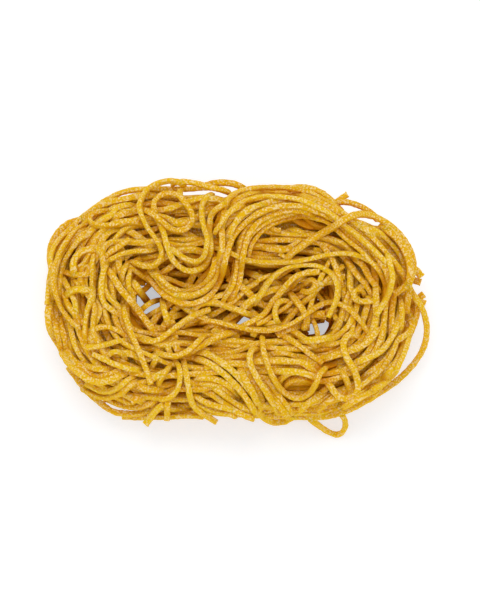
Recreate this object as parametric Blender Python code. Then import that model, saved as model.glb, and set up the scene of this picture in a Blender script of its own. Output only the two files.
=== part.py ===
"""A dry egg-pasta nest: one heap of thin square noodles, wound in an oval round a shallow hollow.

Run it with: blender --background --python part.py
The constants are millimetres, and the model is built in metres. The nest rests on z = 0 with its
length along X, and its origin is the middle of its footprint.
"""

import math
import random

import bmesh
import bpy
from mathutils import Matrix, Vector, noise
from mathutils.bvhtree import BVHTree

MM = 0.001

# A noodle: square in section, cut about as wide as it is thick
NOODLE_SIDE = 1.75
WINDING_STEP = 7.0
ROUTE_STEP = 4.6
CHORD_STEP = 8.0

# The heap: an oval ring, given as a round-ended slot's middle line and the ring's section
RING_CENTRE = Vector((-1.8, 2.2, 0.0))
END_CENTRE = 19.2
RING_RADIUS = 19.8
RING_HALF_WIDTH = 12.8
CORNER_FULLNESS = 1.5
RING_BASE = 0.9
RING_TOP = 25.4
SECTION_POWER = 0.82
LUMP_HEIGHT = 0.8
LUMP_SIZE = 11.0
CORE_STATIONS = 26
CORE_SIDES = 9

# How far a noodle's middle stands off the core: the first layer bites into it, each next one into the last
FIRST_LAYER = 0.35
LAYER_RISE = 1.25

# The packed floor of the hollow, as (west, east, south, north, top) of each part: it leaves three gaps open
FLOOR_BASE = 1.4
FLOOR_PARTS = (
    (-38.0, -29.5, -12.0, 16.5, 16.4), (-31.0, -21.5, 4.0, 16.0, 17.2), (-22.5, 1.2, -12.2, 16.3, 16.8),
    (0.6, 5.0, -1.6, 15.7, 17.5), (4.4, 20.4, -12.4, 16.6, 16.5), (19.6, 26.4, -1.2, 15.5, 17.3),
    (25.8, 34.0, -12.1, 16.1, 16.9),
)
HOLLOW_BED = 17.0
EASING_PASSES = 12
SEED = 11

PASTA_COLOUR = (0.80, 0.50, 0.06, 1.0)
PASTA_ROUGHNESS = 0.6


def signed_power(value, power):
    """value's size raised to power, with its sign kept: it squares up a circle's sine and cosine."""
    return math.copysign(abs(value) ** power, value)


def oval_frame(turn):
    """The anchor's x and the outward direction, at a share of a turn anticlockwise from +X."""
    bend = math.pi * RING_RADIUS
    straight = 2 * END_CENTRE
    along = (turn % 1.0) * 2 * (bend + straight)
    if along < bend / 2:
        return END_CENTRE, along / RING_RADIUS
    along -= bend / 2
    if along < straight:
        return END_CENTRE - along, math.pi / 2
    along -= straight
    if along < bend:
        return -END_CENTRE, math.pi / 2 + along / RING_RADIUS
    along -= bend
    if along < straight:
        return along - END_CENTRE, 1.5 * math.pi
    return END_CENTRE, 1.5 * math.pi + (along - straight) / RING_RADIUS


def heap_point(turn, section, lift=0.0):
    """A point on the ring, in mm: section is 0 on the outside, a quarter turn on top. lift stands it off."""
    anchor, heading = oval_frame(turn)
    middle = (RING_TOP + RING_BASE) / 2
    half_height = (RING_TOP - RING_BASE) / 2 * (1 + 0.05 * math.sin(4 * math.pi * turn + 0.6))
    fuller = CORNER_FULLNESS * math.sin(2 * heading) ** 2
    out = RING_RADIUS + fuller + (RING_HALF_WIDTH + lift) * signed_power(math.cos(section), SECTION_POWER)
    up = middle + (half_height + lift) * signed_power(math.sin(section), SECTION_POWER)
    return RING_CENTRE + Vector((anchor + out * math.cos(heading), out * math.sin(heading), up))


def smooth_route(points, step):
    """Points every step mm along a Catmull-Rom curve through the route's own points."""
    route = [Vector(p) for p in points]
    ends = [2 * route[0] - route[1], *route, 2 * route[-1] - route[-2]]
    fine = []
    for a, b, c, d in zip(ends, ends[1:], ends[2:], ends[3:]):
        parts = max(1, round((c - b).length / step))
        for k in range(parts):
            t = k / parts
            fine.append(0.5 * (2 * b + (c - a) * t + (2 * a - 5 * b + 4 * c - d) * t**2
                               + (3 * b - a - 3 * c + d) * t**3))
    return [*fine, route[-1]]


def pasta_material():
    material = bpy.data.materials.new("dry_egg_pasta")
    material.use_nodes = True
    shader = material.node_tree.nodes["Principled BSDF"]
    shader.inputs["Base Color"].default_value = PASTA_COLOUR
    shader.inputs["Roughness"].default_value = PASTA_ROUGHNESS
    shader.inputs["Metallic"].default_value = 0.0
    return material


def make_core(collection):
    """The packed inside of the heap: a torus whose points move onto the ring's lumpy surface."""
    bpy.ops.mesh.primitive_torus_add(
        major_segments=CORE_STATIONS, minor_segments=CORE_SIDES, major_radius=1.0, minor_radius=0.25
    )
    core = bpy.context.object
    core.name = core.data.name = "pasta_nest"
    for vertex in core.data.vertices:
        x, y, z = vertex.co
        turn = math.atan2(y, x) / (2 * math.pi) % 1.0
        section = math.atan2(z, math.hypot(x, y) - 1.0)
        spot = heap_point(turn, section)
        lump = LUMP_HEIGHT * noise.noise(spot / LUMP_SIZE)
        spot = heap_point(turn, section, lump)
        spot.z = max(spot.z, RING_BASE)
        vertex.co = spot * MM
    move_to(core, collection)
    return core


def move_to(obj, collection):
    for old in list(obj.users_collection):
        old.objects.unlink(obj)
    collection.objects.link(obj)


def make_noodle(name, points, collection, side=NOODLE_SIDE):
    """A square noodle along points in mm: a curve with a four-sided bevel, turned flat and capped, made a mesh."""
    curve = bpy.data.curves.new(name, "CURVE")
    curve.dimensions = "3D"
    curve.twist_mode = "Z_UP"
    curve.bevel_depth = side / math.sqrt(2) * MM
    curve.bevel_resolution = 0
    curve.use_fill_caps = True
    spline = curve.splines.new("POLY")
    spline.points.add(len(points) - 1)
    for control, point in zip(spline.points, points):
        control.co = (*(Vector(point) * MM), 1.0)
        control.tilt = math.pi / 4
    rail = bpy.data.objects.new(name, curve)
    collection.objects.link(rail)
    graph = bpy.context.evaluated_depsgraph_get()
    mesh = bpy.data.meshes.new_from_object(rail.evaluated_get(graph))
    welded = bmesh.new()
    welded.from_mesh(mesh)
    bmesh.ops.remove_doubles(welded, verts=welded.verts, dist=1e-5)
    bmesh.ops.recalc_face_normals(welded, faces=welded.faces)
    welded.to_mesh(mesh)
    welded.free()
    noodle = bpy.data.objects.new(name, mesh)
    noodle.matrix_world = rail.matrix_world
    collection.objects.link(noodle)
    bpy.data.objects.remove(rail)
    return noodle


def winding(start, turns, section, sway, phase, lift):
    """A noodle's route round the heap, from start for some turns: its section angle, in degrees, sways as it goes."""
    lap = 2 * math.pi * RING_RADIUS + 4 * END_CENTRE
    steps = max(3, round(turns * lap / WINDING_STEP))
    route = []
    for k in range(steps + 1):
        turn = start + turns * k / steps
        angle = section + sway * math.sin(2 * math.pi * (2.0 * turn + phase))
        angle += 0.5 * sway * math.sin(2 * math.pi * (4.7 * turn + 2.3 * phase))
        ripple = 0.35 * math.sin(2 * math.pi * (9.0 * turn + phase))
        route.append(heap_point(turn, math.radians(angle), lift + ripple))
    return route


class Bed:
    """What a route is laid on: the core's top, or the floor of the hollow where there is no core."""

    def __init__(self, core):
        graph = bpy.context.evaluated_depsgraph_get()
        self.tree = BVHTree.FromObject(core, graph)

    def height(self, x, y):
        hit = self.tree.ray_cast(Vector((x, y, 80.0)) * MM, Vector((0, 0, -1)))[0]
        return hit.z / MM if hit else HOLLOW_BED

    def lay(self, route, layer):
        """A route of (x, y) points, laid on the bed in some layer and eased like a noodle that can't kink."""
        fine = smooth_route([(x, y, 0.0) for x, y in route], ROUTE_STEP)
        heights = [self.height(p.x, p.y) for p in fine]
        eased = list(heights)
        for _ in range(EASING_PASSES):
            padded = [eased[0], *eased, eased[-1]]
            mean = [(a + b + c) / 3 for a, b, c in zip(padded, padded[1:], padded[2:])]
            eased = [max(h, m) for h, m in zip(heights, mean)]
        rise = FIRST_LAYER + layer * LAYER_RISE
        return [Vector((p.x, p.y, z + rise)) for p, z in zip(fine, eased)]


def arc(centre_x, centre_y, radius_x, radius_y, start, end, count):
    """(x, y) points on an ellipse between two angles in degrees."""
    angles = [math.radians(start + (end - start) * k / (count - 1)) for k in range(count)]
    return [(centre_x + radius_x * math.cos(a), centre_y + radius_y * math.sin(a)) for a in angles]


def windings():
    """Noodles wound round the heap, as (start, turns, section, sway, phase, lift)."""
    drawn = random.Random(SEED)
    found = []
    # The outside wall, from near the floor to the shoulder
    for k in range(4):
        found.append((drawn.random(), 0.95, -40 + 23 * k, 7, drawn.random(), FIRST_LAYER))
    # The crest, thinner over the north, where long arcs cover it
    for k in range(2):
        found.append((0.04 + 0.01 * k, 0.46, 62 + 58 * k, 5, 0.1 * k, FIRST_LAYER))
    for k in range(3):
        found.append((0.50 + 0.03 * k, 0.45, 66 + 24 * k, 7, drawn.random(), FIRST_LAYER))
    # The inner wall, down into the hollow
    for k in range(2):
        found.append((drawn.random(), 0.8, 148 + 28 * k, 7, drawn.random(), FIRST_LAYER))
    return found


def base_windings():
    """Flat laps under the heap, at their distance from the slot's line: the nest rests on these."""
    laps = []
    for distance, start in ((13.0, 0.1), (24.5, 0.6)):
        lap = []
        for k in range(25):
            anchor, heading = oval_frame(start + 0.93 * k / 24)
            flat = Vector((anchor + distance * math.cos(heading), distance * math.sin(heading), NOODLE_SIDE / 2))
            lap.append(RING_CENTRE + flat)
        laps.append(lap)
    return laps


def top_routes():
    """The noodles that stand out on top, as (layer, (x, y) points), lowest first. Bends and loops come from arcs."""
    west = [
        (0.5, [(-41.0, 16.0), (-42.0, 1.5), (-44.0, -8.0), (-43.7, -12.5)]),
        (0.6, [(-42.0, -15.3), (-35.0, -18.6), (-27.0, -19.6)]),
        (1.8, [(-37.5, 10.4), (-31.5, 1.3), (-26.5, -5.3), (-23.0, -10.0)]),
        (2.2, [(-33.0, -0.2), (-31.0, -8.5), (-27.5, -17.0), (-24.9, -25.0)]),
        (0.5, [(-18.0, -17.0), *arc(-21.0, -22.5, 4.6, 5.3, 30, -110, 5)]),
    ]
    middle = [
        (1.0, [(-29.0, -10.2), (-22.5, -11.0), (-15.0, -5.4), (-7.5, -2.0)]),
        (1.0, [(-10.5, -5.0), (-1.0, -6.8), (9.0, -8.2), (17.0, -5.6), (26.0, 0.1), (33.0, -2.2),
               (38.5, -9.6)]),
        (1.2, [(5.0, 0.3), (9.3, 6.0), (16.0, 10.7), *arc(23.5, 4.5, 5.8, 6.5, 75, -40, 5)]),
        (1.8, [(1.0, -6.8), (8.0, -3.2), (14.5, 5.4), (21.0, 9.0), (24.3, 9.2)]),
    ]
    south = [
        (1.5, [(-13.0, -16.0), (-5.0, -20.0), (1.0, -26.0), (5.0, -31.0)]),
        (1.5, [(7.5, -8.5), (9.0, -18.0), *arc(17.0, -20.5, 7.0, 7.5, 190, 360, 6)]),
        (1.8, [(26.0, -22.0), *arc(31.5, -21.0, 3.8, 7.0, 210, 390, 6), (31.0, -11.0)]),
    ]
    # Long arcs over the north-east, and the bends over the hollow that the outer ones come out of
    north = [
        (1.2, [(-24.5, 10.0), *arc(-14.5, 10.0, 8.5, 6.6, 215, 340, 5), (-5.0, 16.0)]),
        (1.0, [(3.0, 14.0), (6.5, 20.0), (15.0, 24.3), (24.0, 24.0), (33.0, 17.0), (43.5, 5.5)]),
        (1.8, [(-3.0, 0.5), (1.0, 7.0), (2.2, 15.0), (6.2, 23.0), (15.0, 26.0), (24.0, 24.2)]),
        (2.6, [(-7.0, 16.5), (3.0, 12.3), (14.0, 11.8), (26.0, 13.6), (35.0, 13.4), (42.9, 9.5)]),
        (3.0, [(-27.0, 10.0), *arc(-14.5, 9.5, 11.0, 9.6, 210, 350, 6), (1.2, 21.0), (9.0, 26.5), (19.0, 27.3),
               (29.0, 23.2), (37.0, 17.0), (45.0, 5.5)]),
        (2.4, [(-3.0, 28.0), (1.0, 32.3), (10.0, 33.5), (20.0, 32.3), (31.0, 25.0), (41.0, 16.0), (49.5, 6.0)]),
        (3.6, [(-5.0, 20.5), (-1.0, 26.8), (8.0, 30.4), (18.0, 29.3), (30.0, 23.0), (40.0, 14.5), (46.0, 7.3)]),
        (3.0, [(-3.5, 28.5), (-4.3, 19.0), (-5.0, 10.5)]),
        (2.4, [(-27.0, 27.5), (-21.5, 20.5), *arc(-13.3, 15.0, 5.8, 6.0, 195, 350, 6), (-8.0, 22.0),
               (-3.2, 29.0)]),
        (4.2, [(13.0, 12.5), (24.0, 19.5), (32.0, 24.3), (38.5, 25.2), (45.5, 21.0), (50.2, 14.0), (50.6, 7.5),
               (45.5, 2.2)]),
        (3.2, [(43.5, 14.0), (45.0, 6.0), (42.5, -1.0), (40.0, -4.8)]),
    ]
    # The round loop, the hook beside it, and the flat loop on the north-west shoulder
    loops = [
        (3.0, [(-27.5, 27.5), *arc(-18.4, 25.8, 5.8, 5.6, 200, 500, 12), (-25.5, 22.0)]),
        (2.0, [(-28.0, 28.0), (-26.5, 22.5), (-22.7, 16.5), *arc(-26.0, 13.6, 4.4, 3.4, 0, -130, 5)]),
        (1.5, [(-27.0, 22.9), (-33.0, 22.7), *arc(-39.5, 24.0, 4.0, 2.2, 270, 90, 5), (-29.0, 28.0)]),
    ]
    return west + middle + south + north + loops


def free_routes():
    """Noodles that leave the heap, as (x, y, z) points: the bow, the loops and the cut ends at the rim."""
    rim = [
        [(46.5, 6.0, 20.0), (51.5, 2.5, 16.0), (55.0, -3.5, 13.0), (55.8, -8.0, 9.0), (52.0, -15.0, 6.0),
         (46.0, -21.0, 6.0), (36.0, -26.5, 8.0)],
        [(19.0, -27.0, 3.5), (24.0, -32.4, 2.2), (28.0, -34.7, 1.6), (31.0, -33.2, 2.2), (29.0, -26.0, 4.5)],
        [(5.5, -27.0, 4.5), (10.0, -31.6, 2.5), (14.0, -31.3, 2.5), (17.0, -27.0, 4.5)],
        [(36.0, -24.0, 12.0), (24.0, -31.0, 10.0), (8.0, -31.0, 9.0), (-6.0, -30.8, 9.0), (-14.0, -27.0, 12.0)],
        [(-14.0, 27.0, 26.0), (-15.0, 34.9, 21.5), (-23.0, 34.7, 22.5), (-27.5, 30.5, 23.5), (-28.0, 26.0, 25.5)],
        [(-50.0, 19.0, 15.0), (-41.0, 30.0, 16.0), (-30.0, 34.6, 17.0), (-18.0, 35.3, 18.0), (-5.0, 35.0, 17.0)],
        [(15.0, 33.5, 17.0), (22.0, 34.6, 18.0), (32.0, 30.5, 18.0), (41.0, 26.0, 20.0), (48.0, 17.0, 20.0)],
    ]
    # Cut ends that stick out of the rim, as a point on it, a heading in degrees and a length
    ends = [
        (-22.0, -27.0, 14.0, 245, 10.0), (-20.3, -25.5, 12.0, 270, 8.3), (-10.5, -28.0, 11.0, 305, 7.2),
        (47.0, 11.0, 14.0, -20, 8.5), (47.5, 8.0, 9.0, -12, 7.5), (49.0, 0.5, 12.0, 30, 6.8),
        (27.0, 27.0, 19.0, 38, 8.0), (-51.5, 9.0, 11.0, 244, 9.0),
    ]
    for x, y, z, heading, length in ends:
        dx, dy = math.cos(math.radians(heading)), math.sin(math.radians(heading))
        inner = (x - 3.0 * dx, y - 3.0 * dy, z + 0.5)
        rim.append([inner, (x, y, z), (x + length * dx, y + length * dy, z - 0.8)])
    return rim


def hollow_routes():
    """Noodles across the floor of the hollow, some of them over the gaps that stay open through the nest."""
    drawn = random.Random(SEED + 1)
    chords = []
    for x in (-31.5, -26.0, -20.5, -15.0, -9.5, -4.0, 8.0, 14.5, 23.4, 31.0):
        lean = drawn.uniform(-5.0, 5.0)
        low = drawn.uniform(17.6, 20.0)
        chords.append([(x - lean, 13.5, low + 3.0), (x, 2.2, low), (x + lean, -9.5, low + 2.5)])
    chords.append([(-35.0, -1.5, 22.0), (-18.0, 3.5, 19.5), (-4.0, 5.0, 20.0), (9.0, -0.5, 19.5),
                   (31.0, 4.0, 22.0)])
    return chords


def make_floors(noodles):
    """The packed floor of the hollow, in parts that overlap a little."""
    for west, east, south, north, top in FLOOR_PARTS:
        bpy.ops.mesh.primitive_cube_add(size=MM)
        block = bpy.context.object
        block.name = "hollow_floor"
        size = Vector((east - west, north - south, top - FLOOR_BASE))
        middle = Vector(((east + west) / 2, (north + south) / 2, (top + FLOOR_BASE) / 2))
        for vertex in block.data.vertices:
            vertex.co = Vector(a * b for a, b in zip(vertex.co, size)) + middle * MM
        move_to(block, noodles)


def fuse(core, noodles):
    """One Boolean union of the core and all noodles, applied; the noodles' own objects are then removed."""
    union = core.modifiers.new("fuse", "BOOLEAN")
    union.operation = "UNION"
    union.operand_type = "COLLECTION"
    union.collection = noodles
    union.solver = "MANIFOLD"
    graph = bpy.context.evaluated_depsgraph_get()
    fused = bpy.data.meshes.new_from_object(core.evaluated_get(graph))
    core.modifiers.clear()
    core.data = fused
    for obj in list(noodles.objects):
        bpy.data.objects.remove(obj)
    bpy.data.collections.remove(noodles)


def shell_volume(faces):
    return sum(f.calc_center_median().dot(f.normal) * f.calc_area() for f in faces) / 3


def keep_main_shell(obj):
    """Drops loose scraps and fills hollows that the union sealed, by keeping the one largest shell."""
    mesh = bmesh.new()
    mesh.from_mesh(obj.data)
    bmesh.ops.triangulate(mesh, faces=mesh.faces)
    shells, seen = [], set()
    for first in mesh.faces:
        if first in seen:
            continue
        seen.add(first)
        shell, queue = [], [first]
        while queue:
            face = queue.pop()
            shell.append(face)
            for edge in face.edges:
                for other in edge.link_faces:
                    if other not in seen:
                        seen.add(other)
                        queue.append(other)
        shells.append(shell)
    shells.sort(key=lambda faces: -abs(shell_volume(faces)))
    for shell in shells[1:]:
        size = shell_volume(shell) / MM**3
        print(f"dropped a shell of {len(shell)} faces, {size:.3f} mm3")
        bmesh.ops.delete(mesh, geom=shell, context="FACES")
    mesh.to_mesh(obj.data)
    mesh.free()


def settle(obj):
    """Moves the nest so that the middle of its footprint, at its lowest point, is the origin."""
    corners = [v.co for v in obj.data.vertices]
    low = Vector(min(c[axis] for c in corners) for axis in range(3))
    high = Vector(max(c[axis] for c in corners) for axis in range(3))
    shift = Vector((-(low.x + high.x) / 2, -(low.y + high.y) / 2, -low.z))
    obj.data.transform(Matrix.Translation(shift))
    print("moved by", [round(value / MM, 2) for value in shift], "size", [round(v / MM, 2) for v in high - low])


def main():
    for obj in list(bpy.data.objects):
        bpy.data.objects.remove(obj)
    nest = bpy.data.collections.new("dry_pasta_nest")
    noodles = bpy.data.collections.new("noodles")
    bpy.context.scene.collection.children.link(nest)
    bpy.context.scene.collection.children.link(noodles)

    core = make_core(nest)
    bed = Bed(core)
    routes = [winding(*values) for values in windings()]
    routes += base_windings()
    routes += [bed.lay(route, layer) for layer, route in top_routes()]
    routes += [smooth_route(route, ROUTE_STEP) for route in free_routes()]
    routes += [smooth_route(route, CHORD_STEP) for route in hollow_routes()]
    for number, route in enumerate(routes):
        make_noodle(f"noodle_{number:02d}", route, noodles)
    make_floors(noodles)
    print("triangles before the union",
          sum(2 * len(o.data.polygons) for o in [core, *noodles.objects]))

    fuse(core, noodles)
    keep_main_shell(core)
    settle(core)
    core.data.materials.clear()
    core.data.materials.append(pasta_material())
    core.data.shade_smooth()
    core.data.set_sharp_from_angle(angle=math.radians(35))
    print("triangles", len(core.data.polygons))


main()
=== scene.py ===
# %% [markdown]
# # A nest of dry egg noodles
#
# A cook winds a handful of fresh, square-cut egg noodles round the fingers, and the heap dries as it lies.
# What the eye reads is one long thing laid over itself many times: parallel runs, bends that cross them,
# loops, cut ends. So this scene makes noodles, not a noodle-like surface. Each one is laid on those before
# it, as the hand laid it, and its height comes from what it meets.
#
# Lengths in this file are millimetres, and the mesh is scaled to metres when it is made.

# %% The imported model, which gives the place and the size
import math

import bmesh
import bpy
import numpy as np
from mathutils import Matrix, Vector


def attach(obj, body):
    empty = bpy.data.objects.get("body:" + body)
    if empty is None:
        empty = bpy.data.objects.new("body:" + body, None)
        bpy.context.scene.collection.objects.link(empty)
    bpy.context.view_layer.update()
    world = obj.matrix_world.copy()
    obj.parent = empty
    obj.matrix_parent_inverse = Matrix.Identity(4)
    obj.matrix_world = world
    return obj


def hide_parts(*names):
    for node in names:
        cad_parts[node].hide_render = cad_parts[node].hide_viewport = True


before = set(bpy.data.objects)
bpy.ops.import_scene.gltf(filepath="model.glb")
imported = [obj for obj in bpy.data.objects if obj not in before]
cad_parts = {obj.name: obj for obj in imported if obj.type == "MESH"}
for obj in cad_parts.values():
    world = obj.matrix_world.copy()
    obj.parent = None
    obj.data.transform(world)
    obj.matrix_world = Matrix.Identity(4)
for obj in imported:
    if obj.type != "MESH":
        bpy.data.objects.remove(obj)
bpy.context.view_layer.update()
MM = 0.001
chance = np.random.default_rng(41)

# %% [markdown]
# ## The noodle and the ring it is wound in
#
# Egg noodles rolled and cut on strings come out square, a little wider than thick. The nest is an oval
# ring: a round-ended slot is its middle line, and its section is a circle squared up a little, because a
# heap is flat below and steep at its sides. One formula gives any point of that ring from a share of a
# turn, an angle round the section and a height above the ring's skin.

# %% Sizes
NOODLE_WIDTH = 1.66
NOODLE_THICKNESS = 1.35
PRESSED = 0.85
HALF_THICK = NOODLE_THICKNESS / 2

RING_CENTRE = np.array([-1.8, 2.2, 0.0])
END_CENTRE = 19.2
RING_RADIUS = 19.8
HALF_WIDTH = 8.8
SKIN_BASE, SKIN_TOP = 3.4, 20.2
SQUARENESS = 0.82
CORNER_FULLNESS = 1.5
UNEVENNESS = 0.05
LAP = 2 * math.pi * RING_RADIUS + 4 * END_CENTRE
SECTION_GIRTH = 78.0
LOWEST_MIDDLE = HALF_THICK + 0.02


def ring_frame(turn):
    """The middle line's anchor x and the outward heading, at shares of a turn anticlockwise from +X."""
    bend, straight = math.pi * RING_RADIUS, 2 * END_CENTRE
    along = (turn % 1.0) * LAP
    starts = np.cumsum([0, bend / 2, straight, bend, straight])
    lengths = (bend / 2, straight, bend, straight, bend / 2)
    east, north, west, south, last = (np.clip(along - s, 0, n) for s, n in zip(starts, lengths))
    anchor = END_CENTRE - north + south
    heading = (east + west + last) / RING_RADIUS
    return anchor, heading


def power_keeping_sign(value, power):
    return np.sign(value) * np.abs(value) ** power


def ring_points(turn, section, lift):
    """Points at a lift above the ring's skin. section is 0 outside and a quarter turn on top, in radians."""
    anchor, heading = ring_frame(turn)
    height = (SKIN_TOP - SKIN_BASE) / 2 * (1 + UNEVENNESS * np.sin(4 * math.pi * turn + 0.6))
    fuller = CORNER_FULLNESS * np.sin(2 * heading) ** 2
    out = RING_RADIUS + fuller + (HALF_WIDTH + lift) * power_keeping_sign(np.cos(section), SQUARENESS)
    up = (SKIN_TOP + SKIN_BASE) / 2 + (height + lift) * power_keeping_sign(np.sin(section), SQUARENESS)
    spots = np.stack([anchor + out * np.cos(heading), out * np.sin(heading), up], axis=-1)
    return RING_CENTRE + spots


print("one lap of the ring, mm:", round(LAP))

# %% [markdown]
# ## Laying a noodle
#
# A grid remembers how high the heap is at each place. A new noodle asks the grid what is under it, rests on
# the highest of that, and bridges the dips between, because dough sags only so far. Then its own top goes
# into the grid. The same grid works on a table, seen from above, and wrapped round the ring, where "up" is
# away from its skin.

# %% The grid and the easing
class Ground:
    """Heights over a plane of cells. It wraps round where its size is a whole turn of something."""

    def __init__(self, low, high, cell, wraps=False):
        self.low, self.cell, self.wraps = np.array(low, float), cell, wraps
        self.size = tuple(np.ceil((np.array(high) - self.low) / cell).astype(int))
        self.heights = np.zeros(self.size)

    def cells(self, places, reach):
        """The cells within reach of each place, as two index arrays."""
        span = int(math.ceil(reach / self.cell))
        steps = [(i, j) for i in range(-span, span + 1) for j in range(-span, span + 1)
                 if math.hypot(i, j) * self.cell <= reach + 1e-9]
        steps = np.array(steps)
        base = np.floor((places - self.low) / self.cell).astype(int)
        rows = base[:, :1] + steps[:, 0]
        columns = base[:, 1:] + steps[:, 1]
        if self.wraps:
            return rows % self.size[0], columns % self.size[1]
        return np.clip(rows, 0, self.size[0] - 1), np.clip(columns, 0, self.size[1] - 1)

    def under(self, places, reach):
        return self.heights[self.cells(places, reach)].max(axis=1)

    def raise_to(self, places, tops, reach):
        rows, columns = self.cells(places, reach)
        np.maximum.at(self.heights, (rows, columns), np.repeat(tops[:, None], rows.shape[1], axis=1))


def blur(values, passes):
    for _ in range(passes):
        padded = np.concatenate([values[:1], values, values[-1:]])
        values = (padded[:-2] + 2 * padded[1:-1] + padded[2:]) / 4
    return values


def bridge(support, passes):
    """The height of a noodle on its supports: it never sinks into them and spans the dips between."""
    height = support.copy()
    for _ in range(passes):
        height = np.maximum(support, blur(height, 1))
    return blur(height, 3)


def even_steps(points, step):
    """Points at even distances along a Catmull-Rom curve through the given ones."""
    route = np.array(points, float)
    route = np.vstack([2 * route[0] - route[1], route, 2 * route[-1] - route[-2]])
    fine = []
    for a, b, c, d in zip(route, route[1:], route[2:], route[3:]):
        t = np.linspace(0, 1, 12, endpoint=False)[:, None]
        fine.append(0.5 * (2 * b + (c - a) * t + (2 * a - 5 * b + 4 * c - d) * t**2
                           + (3 * b - a - 3 * c + d) * t**3))
    fine = np.vstack([*fine, route[-2:-1]])
    along = np.concatenate([[0], np.cumsum(np.linalg.norm(np.diff(fine, axis=0), axis=1))])
    marks = np.linspace(0, along[-1], max(3, int(round(along[-1] / step)) + 1))
    return np.stack([np.interp(marks, along, column) for column in fine.T], axis=1)


# %% [markdown]
# ## The wound body of the nest
#
# Under the noodles that one can follow by eye lie many more, wound round and round. They are laid on the
# ring's skin, all the way round its section, so the underside and the hollow's walls are wound as the top
# is. Each new one is the lowest of several tries, which spreads them evenly, as gravity and a cook's
# fingers do.

# %% Winding
WOUND_STEP = 1.1
WOUND_LENGTH = 18500.0
WOUND_TRIES, TRIES_EACH = 400, 10
LAPS_EACH = (0.3, 1.3)
WANDERINGS, WANDERING_PERIODS = [1.5, 3.0, 6.0], (40, 110)
FOOT_ON_SKIN, REACH_ON_SKIN = 0.55, 0.85
GAP_MARGIN = 0.8
GAP_CENTRES = ((-24.2, 2.0, 1.5), (-28.0, -0.8, 1.1), (-24.6, -2.9, 1.3), (2.6, -5.8, 1.3), (21.7, -8.6, 1.1),
               (24.7, -8.6, 1.2), (31.5, 26.6, 0.9), (38.0, 22.8, 0.9))

VIEW_HEIGHT = 25.0
VIEW_DISTANCE = 1000.0
VIEW_ELEVATION = math.radians(78)


def seen_from_camera(spots):
    """Where points appear in the photo's view, in mm on a sheet held square to it through z = 25 mm."""
    up, away = spots[:, 2] - VIEW_HEIGHT, spots[:, 1]
    shrink = VIEW_DISTANCE / (VIEW_DISTANCE - up * math.sin(VIEW_ELEVATION) + away * math.cos(VIEW_ELEVATION))
    across = away * math.sin(VIEW_ELEVATION) + up * math.cos(VIEW_ELEVATION)
    return np.stack([spots[:, 0] * shrink, across * shrink], axis=1)


def place_from_view(seen, height):
    """The plan position of points that appear at seen, when their height is known: the view's inverse."""
    up = height - VIEW_HEIGHT
    away = seen[:, 1]
    for _ in range(3):
        shrink = VIEW_DISTANCE / (VIEW_DISTANCE - up * math.sin(VIEW_ELEVATION)
                                  + away * math.cos(VIEW_ELEVATION))
        away = (seen[:, 1] / shrink - up * math.cos(VIEW_ELEVATION)) / math.sin(VIEW_ELEVATION)
    return np.stack([seen[:, 0] / shrink, away], axis=1)


def hides_a_gap(seen):
    """Whether a noodle, as seen, would cover one of the places where the table shows through."""
    return any((np.hypot(seen[:, 0] - x, seen[:, 1] - y) < r + GAP_MARGIN).any() for x, y, r in GAP_CENTRES)


def waver(along, size, period):
    """A slow wandering: three sine waves with chance phases, near the given period."""
    total = np.zeros_like(along)
    for share in (1.0, 0.55, 0.3):
        length = period * share * chance.uniform(0.8, 1.25)
        total += share * np.sin(2 * math.pi * (along / length + chance.uniform()))
    return size * total / 1.3


def wind_the_body():
    skin = Ground((0, 0), (LAP, SECTION_GIRTH), cell=0.5, wraps=True)
    wound, length = [], 0.0
    for _ in range(WOUND_TRIES):
        if length > WOUND_LENGTH:
            break
        best = None
        for _ in range(TRIES_EACH):
            size = chance.uniform(*LAPS_EACH) * LAP
            along = chance.uniform(0, LAP) + np.arange(0, size, WOUND_STEP)
            lane = chance.uniform(0, SECTION_GIRTH)
            section = lane + waver(along, chance.choice(WANDERINGS), chance.uniform(*WANDERING_PERIODS))
            places = np.stack([along % LAP, section % SECTION_GIRTH], axis=1)
            found = skin.under(places, FOOT_ON_SKIN)
            badness = found.mean() + 0.5 * found.max()
            if best is None or badness < best[0]:
                best = (badness, along, section, places, found)
        _, along, section, places, found = best
        lift = bridge(found + HALF_THICK * PRESSED, passes=30)
        angle = section / SECTION_GIRTH * 2 * math.pi
        spots = ring_points(along / LAP, angle, lift)
        spots[:, 2] = np.maximum(spots[:, 2], LOWEST_MIDDLE)
        outward = ring_points(along / LAP, angle, lift + 1) - ring_points(along / LAP, angle, lift)
        if hides_a_gap(seen_from_camera(spots)):
            continue
        skin.raise_to(places, lift + HALF_THICK * PRESSED, REACH_ON_SKIN)
        wound.append((spots, outward))
        length += size
    print(len(wound), "wound noodles, deepest cover", round(skin.heights.max(), 1),
          "mean cover", round(skin.heights.mean(), 1), "mm")
    return wound


wound_noodles = wind_the_body()

# %% [markdown]
# ## The heap from above
#
# From here on each noodle is dropped on the heap from above. The grid over the table starts with the ring's
# inside and every wound noodle's top.

# %% The table's grid
CELL = 0.4
heap = Ground((-62, -44), (62, 44), CELL)
FOOT = 0.5


def drop_in_grid(spots):
    heap.raise_to(spots[:, :2], spots[:, 2] + HALF_THICK * PRESSED, NOODLE_WIDTH / 2)


turns, sections = np.meshgrid(np.linspace(0, 1, 600), np.linspace(0, math.pi, 160))
inside = ring_points(turns.ravel(), sections.ravel(), 0.0)
heap.raise_to(inside[:, :2], inside[:, 2], reach=0.3)
for spots, _ in wound_noodles:
    drop_in_grid(spots)
print("heap's top before the last noodles, mm:", round(heap.heights.max(), 1))


CUT = None
FIRST_HEIGHT = 20.0
DIVE_LENGTH, DIVE_DEPTH = 4.5, 3.4
CROSSING_REACH, CROSSING_APART = 1.4, 5.0


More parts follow.
